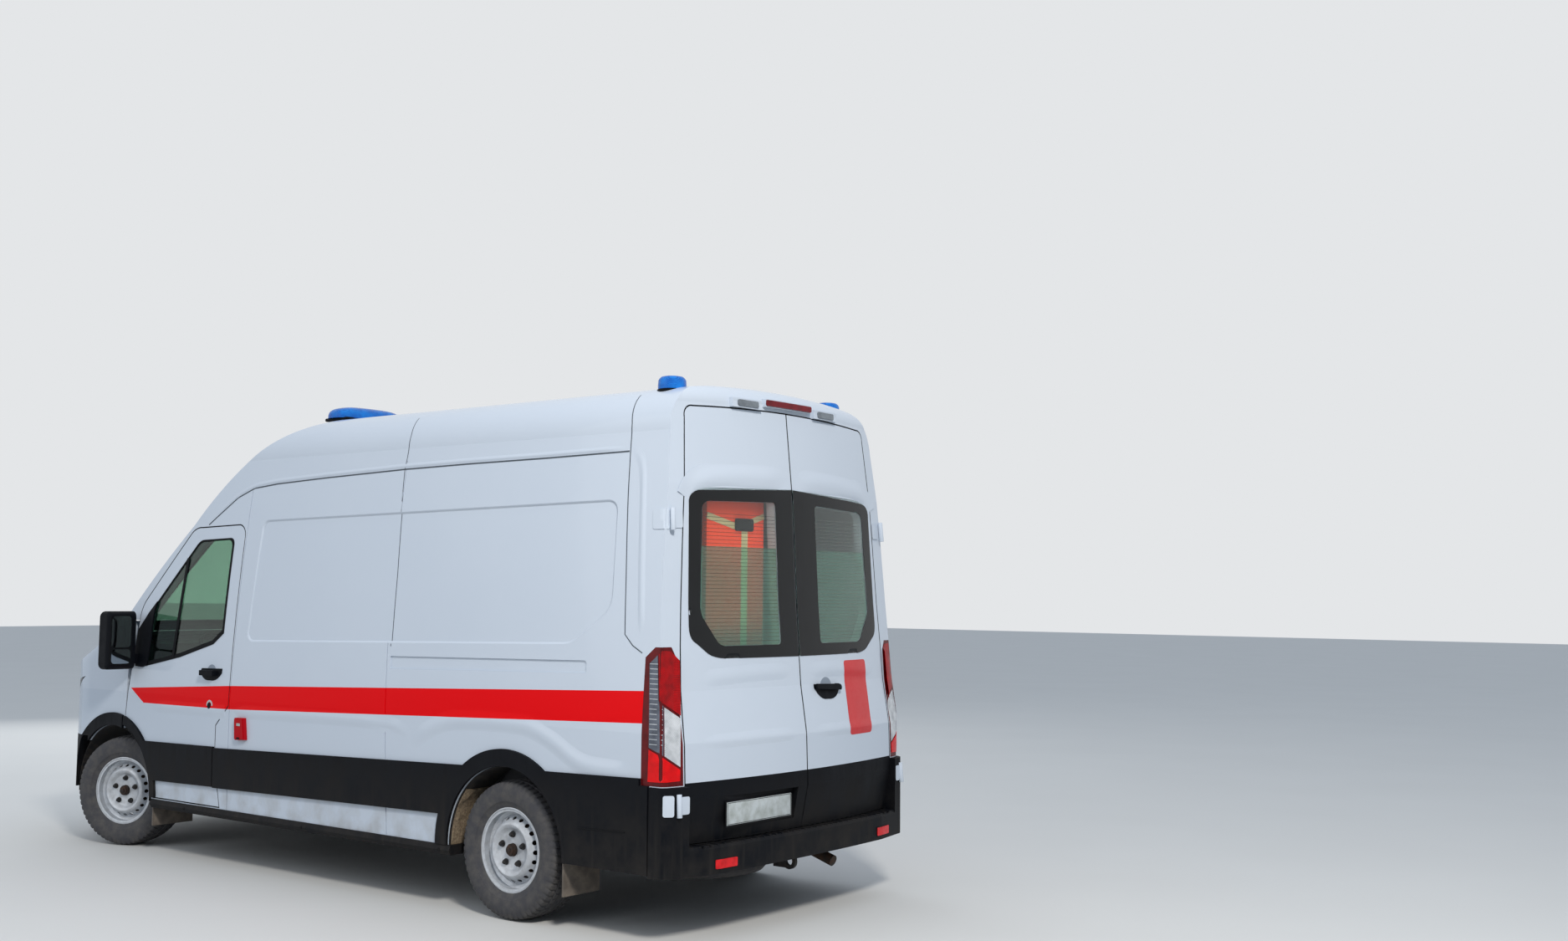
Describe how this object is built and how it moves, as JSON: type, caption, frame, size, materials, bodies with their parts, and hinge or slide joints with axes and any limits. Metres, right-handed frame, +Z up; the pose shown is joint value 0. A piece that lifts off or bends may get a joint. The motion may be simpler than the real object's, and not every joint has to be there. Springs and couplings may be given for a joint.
{
  "type": "high-roof van ambulance",
  "caption": "Full-size high-roof panel-van ambulance with hinged cab, rear and bonnet doors, steering front wheels and rolling wheels.",
  "frame": {"origin": "on the ground, half way along the vehicle, on its centre line", "axes": "+X forward, +Y to the vehicle's left, +Z up"},
  "size_m": [5.9748, 2.474, 2.8299],
  "materials": {
    "white_paint": "gloss",
    "black_plastic": "grained",
    "glass": "tinted",
    "red_lamp": "clear moulded",
    "clear_lamp": "clear moulded",
    "blue_lamp": "clear moulded",
    "wheel_steel": "silver paint",
    "tyre": "road worn",
    "chassis": "black underseal",
    "cast": "rusty",
    "inner_trim": "grained",
    "seat_cloth": "woven",
    "orange_board": "moulded",
    "floor_lining": "ribbed"
  },
  "bodies": {
    "van_body": {"roof": "white_paint", "left_body_side": "white_paint", "right_body_side": "white_paint", "sliding_door": "white_paint", "windscreen": "glass", "headlamps": "clear_lamp", "grille": "black_plastic", "front_bumper": "black_plastic", "left_front_wing": "white_paint", "right_front_wing": "white_paint", "rear_bumper": "black_plastic", "tail_lamps": "red_lamp", "side_mouldings": "black_plastic", "lower_trim": "black_plastic", "light_bar": "blue_lamp", "roof_beacons": "blue_lamp", "rear_roof_lamps": "red_lamp", "floor_pan": "floor_lining", "bulkhead": "inner_trim", "cab_front": "chassis", "chassis_frame": "chassis", "radiator_carrier": "chassis", "engine_block": "cast", "fuel_tank": "black_plastic", "exhaust": "cast", "front_suspension": "chassis", "rear_axle": "cast", "leaf_springs": "chassis", "spare_wheel": "tyre", "dashboard": "inner_trim", "steering_wheel": "black_plastic", "cab_seats": "seat_cloth", "rescue_board": "orange_board"},
    "left_front_door": {"left_front_door": "white_paint", "left_door_glass": "glass", "left_door_trim": "black_plastic"},
    "right_front_door": {"right_front_door": "white_paint", "right_door_glass": "glass", "right_door_trim": "black_plastic"},
    "left_rear_door": {"left_rear_door": "white_paint", "left_rear_glass": "glass", "left_rear_cladding": "black_plastic"},
    "right_rear_door": {"right_rear_door": "white_paint", "right_rear_glass": "glass", "right_rear_cladding": "black_plastic"},
    "bonnet": {"bonnet": "white_paint"},
    "left_knuckle": {"left_knuckle": "cast"},
    "right_knuckle": {"right_knuckle": "cast"},
    "front_left_wheel": {"front_left_rim": "wheel_steel", "front_left_tyre": "tyre"},
    "front_right_wheel": {"front_right_rim": "wheel_steel", "front_right_tyre": "tyre"},
    "rear_left_wheel": {"rear_left_rim": "wheel_steel", "rear_left_tyre": "tyre"},
    "rear_right_wheel": {"rear_right_rim": "wheel_steel", "rear_right_tyre": "tyre"}
  },
  "joints": [
    {"name": "left_front_door_hinge", "type": "hinge", "parent": "van_body", "child": "left_front_door", "pos_m": [1.864, 1.03, 1], "axis": [0, 0, -1], "range_deg": [0, 68]},
    {"name": "right_front_door_hinge", "type": "hinge", "parent": "van_body", "child": "right_front_door", "pos_m": [1.864, -1.03, 1], "axis": [0, 0, 1], "range_deg": [0, 68]},
    {"name": "left_rear_door_hinge", "type": "hinge", "parent": "van_body", "child": "left_rear_door", "pos_m": [-2.925, 0.955, 0.7], "axis": [-0.0797, 0.0359, -0.9962], "range_deg": [0, 180]},
    {"name": "right_rear_door_hinge", "type": "hinge", "parent": "van_body", "child": "right_rear_door", "pos_m": [-2.925, -0.955, 0.7], "axis": [0.0797, 0.0359, 0.9962], "range_deg": [0, 180]},
    {"name": "bonnet_hinge", "type": "hinge", "parent": "van_body", "child": "bonnet", "pos_m": [2.228, 0, 1.396], "axis": [0, -1, 0], "range_deg": [0, 55]},
    {"name": "left_steering", "type": "hinge", "parent": "van_body", "child": "left_knuckle", "pos_m": [1.9675, 0.85, 0.356], "axis": [0, 0, 1], "range_deg": [-56, 16]},
    {"name": "right_steering", "type": "hinge", "parent": "van_body", "child": "right_knuckle", "pos_m": [1.9675, -0.85, 0.356], "axis": [0, 0, 1], "range_deg": [-56, 16]},
    {"name": "front_left_wheel_spin", "type": "hinge", "parent": "left_knuckle", "child": "front_left_wheel", "pos_m": [1.96203, 0.86503, 0.356], "axis": [-0.342, 0.9397, 0], "continuous": true},
    {"name": "rear_left_wheel_spin", "type": "hinge", "parent": "van_body", "child": "rear_left_wheel", "pos_m": [-1.7825, 0.8715, 0.356], "axis": [0, 1, 0], "continuous": true},
    {"name": "front_right_wheel_spin", "type": "hinge", "parent": "right_knuckle", "child": "front_right_wheel", "pos_m": [1.97297, -0.86503, 0.356], "axis": [-0.342, 0.9397, 0], "continuous": true},
    {"name": "rear_right_wheel_spin", "type": "hinge", "parent": "van_body", "child": "rear_right_wheel", "pos_m": [-1.7825, -0.8715, 0.356], "axis": [0, 1, 0], "continuous": true}
  ],
  "couplings": [
    {"joint": "right_steering", "follows": "left_steering", "ratio": 1}
  ]
}
